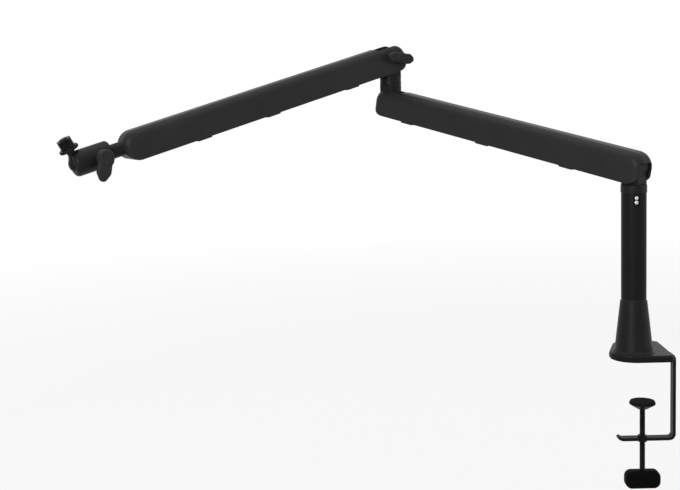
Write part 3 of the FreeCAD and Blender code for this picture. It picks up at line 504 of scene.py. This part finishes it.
def balance_spring(solid, arm_frame):
    """A spring in an arm, from a hook on the knuckle's pin to an anchor in the arm, fixed in the scene where it
    stands.
    """
    hook = arm_frame.translation + Vector((0.0, 0.0, spring_pin_rise))
    anchor = arm_frame @ spring_anchor
    across = arm_frame.to_3x3() @ Vector((0.0, 1.0, 0.0))
    rings = tube_along(spring_path(hook, anchor, across), spring_wire / 2, wire_sides)
    piece = piece_from_rings(solid + "_coils", [rings], "bright_steel")
    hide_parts(solid)
    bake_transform(piece)


# Threads and knurl


def thread_rings(place, radius, pitch, low, high, sides):
    """Rings of a helical thread about a frame's Z axis, fading out at both ends."""
    depth = pitch * thread_depth_share
    count = int((high - low) / pitch * thread_steps)
    rings = []
    for step in range(count + 1):
        height = low + (high - low) * step / count
        fade = min(1.0, (height - low) / pitch, (high - height) / pitch)

        def wound(turn, height=height, fade=fade):
            phase = (height / pitch - turn / (2 * math.pi)) % 1.0
            return radius - depth * abs(2 * phase - 1) * fade

        rings.append(circle(place, wound, height, sides))
    return rings


def threaded_clamp_screw():
    """The clamp screw with its thread, a plain end in the knob and its ball in the pad."""
    place = Matrix.Translation(Vector((*joint_place("clamp_screw_turn")[:2], 0.0)))
    low, high = (corner.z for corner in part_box("clamp_screw"))
    ball_height = high - clamp_ball_radius
    thread_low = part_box("clamp_knob")[1].z - clamp_thread_pitch
    thread_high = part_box("pressure_pad")[0].z - clamp_thread_pitch
    rings = [circle(place, clamp_thread_radius, low, thread_sides)]
    rings += thread_rings(place, clamp_thread_radius, clamp_thread_pitch, thread_low, thread_high,
                          thread_sides)
    neck = math.asin(clamp_neck_share * clamp_thread_radius / clamp_ball_radius)
    for step in range(clamp_ball_steps):
        turn = neck + (math.pi - neck) * step / clamp_ball_steps
        radius = clamp_ball_radius * math.sin(turn)
        height = ball_height - clamp_ball_radius * math.cos(turn)
        rings.append(circle(place, radius, height, thread_sides))
    piece = piece_from_rings("clamp_screw_threaded", [rings], "black_steel", "clamp_screw")
    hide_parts("clamp_screw")


def threaded_adapter():
    """The adapter on the stud, threaded outside, with the bore that the stud fills."""
    low, high = reach("thread_adapter", stud_frame.translation, stud_axis)
    rings = [circle(stud_frame, stud_radius, low, adapter_sides)]
    rings += thread_rings(stud_frame, adapter_radius, adapter_pitch, low, high, adapter_sides)
    rings.append(circle(stud_frame, stud_radius, high, adapter_sides))
    piece = piece_from_rings("thread_adapter_threaded", [rings], "black_steel", "ball_stud", capped=False)
    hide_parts("thread_adapter")


def knurled_lock_ring():
    """The lock ring with a straight knurl round its edge."""
    low, high = reach("lock_ring", stud_frame.translation, stud_axis)
    sides = ring_ridges * ring_ridge_sides

    def knurled(turn):
        return ring_radius - ring_ridge_depth * (1 + math.cos(ring_ridges * turn)) / 2

    plain = ring_radius - ring_edge
    outline = [(stud_radius, low), (plain, low), (knurled, low + ring_edge), (knurled, high - ring_edge),
               (plain, high), (stud_radius, high)]
    rings = [circle(stud_frame, radius, height, sides) for radius, height in outline]
    piece = piece_from_rings("lock_ring_knurled", [rings], "black_steel", "lock_ring", capped=False)
    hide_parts("lock_ring")


# Grips and screws


def lever_axis(offsets):
    """The direction of a lever's paddle and its length, from the points about its tip."""
    tip = max(offsets, key=lambda offset: offset.length)
    zone = [offset for offset in offsets
            if offset.dot(tip) > 0 and offset.length > tip.length * lever_tip_zone_share]
    return sum(zone, Vector()).normalized(), tip.length


def paddle_half_width(distance, length, width):
    """Half the width of a paddle at a distance from its pivot: even up to its waist, then narrowing."""
    waist = length * lever_waist_share
    narrowing = max(0.0, (distance - waist) / (length - lever_tip_radius - waist))
    return width / 2 + (lever_tip_radius - width / 2) * narrowing


def rib_rings(place, along, across, outward, length, width, spread):
    """The rings of one rib, rounded off at both ends, which keeps its share of the paddle's width."""
    rings = []
    for step in range(rib_steps + 1):
        share = step / rib_steps
        distance = length * (rib_starts_share + (rib_ends_share - rib_starts_share) * share)
        swell = math.sqrt(max(rib_end_least, 1 - (2 * share - 1) ** rib_end_power))
        offset = spread * paddle_half_width(distance, length, width)
        middle = place + along * distance + across * offset
        half_width = rib_half_width * swell
        rings.append(oval(middle, across, outward, half_width, rib_height * swell, rib_sides))
    return rings


def lever_ribs(lever, pivot_joint, width, count, ways):
    """Low ribs on the outer face of a lever, on one or both sides of its hub."""
    origin = joint_place(pivot_joint)
    outward = joint_axis(pivot_joint)
    offsets = [place - origin - outward * (place - origin).dot(outward) for place in node_points(lever)]
    along, length = lever_axis(offsets)
    face = origin + outward * (reach(lever, origin, outward)[1] - paddle_below_cap)
    rings_list = []
    for way in ways:
        across = outward.cross(along * way)
        for rib in range(count):
            spread = rib_spread_share * (2 * rib / (count - 1) - 1)
            rings_list.append(rib_rings(face, along * way, across, outward, length, width, spread))
    piece_from_rings(lever + "_ribs", rings_list, "black_plastic", lever)


def hexagon_radius(flats):
    """How far a hexagon's edge lies from its middle, by the turn."""
    sixth = math.pi / 3

    def radius(turn):
        return flats / 2 / math.cos((turn + sixth / 2) % sixth - sixth / 2)

    return radius


def post_screw_outline(rear, face):
    """The radius at each place along a post screw, from the end of its shank to its socket's floor."""
    shank = post_screw_radius * post_screw_shank_share
    shoulder = post_screw_radius * post_screw_shoulder_share
    top = post_screw_radius * post_screw_top_share
    head_base = face - 2 * post_screw_dome
    shoulder_place = face - post_screw_dome * post_screw_shoulder_drop_share
    socket = hexagon_radius(post_screw_flats)
    return [(shank, rear), (shank, head_base), (post_screw_radius, head_base),
            (post_screw_radius, face - post_screw_dome), (shoulder, shoulder_place), (top, face),
            (socket, face), (socket, face - post_screw_recess)]


def socketed_post_screws():
    """The two bright screws in the post, with domed heads and hexagon sockets."""
    rear, face = reach("post_screws", Vector(), Vector((0.0, -1.0, 0.0)))
    lowest, highest = (corner.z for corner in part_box("post_screws"))
    outline = post_screw_outline(rear, face)
    rings_list = []
    for height in (lowest + post_screw_radius, highest - post_screw_radius):
        centre = Vector((0.0, 0.0, height))
        place = member_frame(centre, Vector((1.0, 0.0, 0.0)), Vector((0.0, 0.0, 1.0)))
        rings_list.append([circle(place, radius, depth, post_screw_sides) for radius, depth in outline])
    piece = piece_from_rings("post_screws_socketed", rings_list, "bright_steel", "post")
    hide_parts("post_screws")


# Stage


def seen_rays(shader):
    """1 for rays from the camera, a mirror or glass, and 0 for the rays that carry soft light."""
    paths = node(shader, "ShaderNodeLightPath")
    share = paths.outputs["Is Camera Ray"]
    for kind in ("Is Glossy Ray", "Is Transmission Ray"):
        added = node(shader, "ShaderNodeMath", operation="ADD", use_clamp=True)
        link(share, added.inputs[0])
        link(paths.outputs[kind], added.inputs[1])
        share = added.outputs[0]
    return share


def floor_material():
    """A pale surface that the camera sees as nearly white, with a faint shadow near the object."""
    material, shader = new_material("floor", shine=0.0)
    shader.inputs["Base Color"].default_value = (floor_grey, floor_grey, floor_grey, 1.0)
    shader.inputs["Roughness"].default_value = floor_roughness
    glow = node(shader, "ShaderNodeEmission", Strength=1.0)
    away = node(shader, "ShaderNodeVectorMath", operation="LENGTH")
    link(object_places(shader), away.inputs[0])
    whiteness = ranged(shader, away.outputs["Value"], floor_white_near, 1.0,
                       from_low=floor_white_from, from_high=floor_white_to)
    share = node(shader, "ShaderNodeMath", operation="MULTIPLY")
    link(seen_rays(shader), share.inputs[0])
    link(whiteness, share.inputs[1])
    mixed = node(shader, "ShaderNodeMixShader")
    link(share.outputs[0], mixed.inputs["Fac"])
    link(shader.outputs["BSDF"], mixed.inputs[1])
    link(glow.outputs["Emission"], mixed.inputs[2])
    output = next(item for item in material.node_tree.nodes if item.type == "OUTPUT_MATERIAL")
    link(mixed.outputs["Shader"], output.inputs["Surface"])
    return material


def add_floor():
    """The floor lies just below the knob at the lower end of its travel."""
    half = floor_size / 2
    height = cad_low.z + joints["clamp_travel"]["range_m"][0] - floor_gap
    corners = [(-half, -half, height), (half, -half, height), (half, half, height), (-half, half, height)]
    mesh = bpy.data.meshes.new("floor")
    mesh.from_pydata(corners, [], [(0, 1, 2, 3)])
    mesh.materials.append(floor_material())
    floor = add_object("floor", mesh)


def add_world():
    """Soft grey light from all round, seen as white behind the object."""
    world = bpy.data.worlds.new("studio")
    world.use_nodes = True
    bpy.context.scene.world = world
    background = world.node_tree.nodes["Background"]
    background.inputs["Color"].default_value = (1.0, 1.0, 1.0, 1.0)
    strength = ranged(background, seen_rays(background), surround_light, 1.0, from_low=0.0, from_high=1.0)
    link(strength, background.inputs["Strength"])


def add_softbox(name, place, target, size, power):
    """A rectangular lamp that faces a point, with its power in watts."""
    light = bpy.data.lights.new(name, "AREA")
    light.shape = "RECTANGLE"
    light.size, light.size_y = size
    light.energy = power
    lamp = add_object(name, light)
    lamp.location = place
    lamp.rotation_euler = (Vector(target) - Vector(place)).to_track_quat("-Z", "Y").to_euler()


def add_camera():
    """The camera at the photograph's place, with its frame shifted instead of tilted further."""
    data = bpy.data.cameras.new("camera")
    data.sensor_width = sensor_width
    data.lens = focal_pixels / picture_width * sensor_width
    data.shift_y = camera_shift_pixels / picture_width
    data.clip_end = camera_far_limit
    camera = add_object("camera", data)
    camera.location = camera_place
    pitch = Matrix.Rotation(math.radians(90 - camera_pitch), 3, "X")
    roll = Matrix.Rotation(math.radians(camera_roll), 3, "Z")
    camera.rotation_euler = (pitch @ roll).to_euler()
    bpy.context.scene.camera = camera


dress_solids()
balance_spring("lower_balance_spring", lower_frame)
balance_spring("upper_balance_spring", upper_frame)
threaded_clamp_screw()
threaded_adapter()
knurled_lock_ring()
lever_ribs("elbow_lever", "elbow_lever_turn", elbow_lever_width, count=3, ways=(1, -1))
lever_ribs("head_lever", "head_lever_turn", head_lever_width, count=4, ways=(1,))
socketed_post_screws()

add_floor()
add_world()
add_softbox("overhead", place=(-0.3, 0.1, 1.9), target=(-0.3, 0.1, 0.1), size=(2.4, 1.6), power=18.0)
add_softbox("left_front", place=(-1.15, -1.9, 0.75), target=arms_middle, size=(0.9, 1.4), power=31.0)
add_softbox("right_side", place=(2.0, -0.6, 0.6), target=arms_middle, size=(1.0, 1.4), power=6.0)
add_camera()
bpy.context.scene.view_settings.view_transform = "Standard"
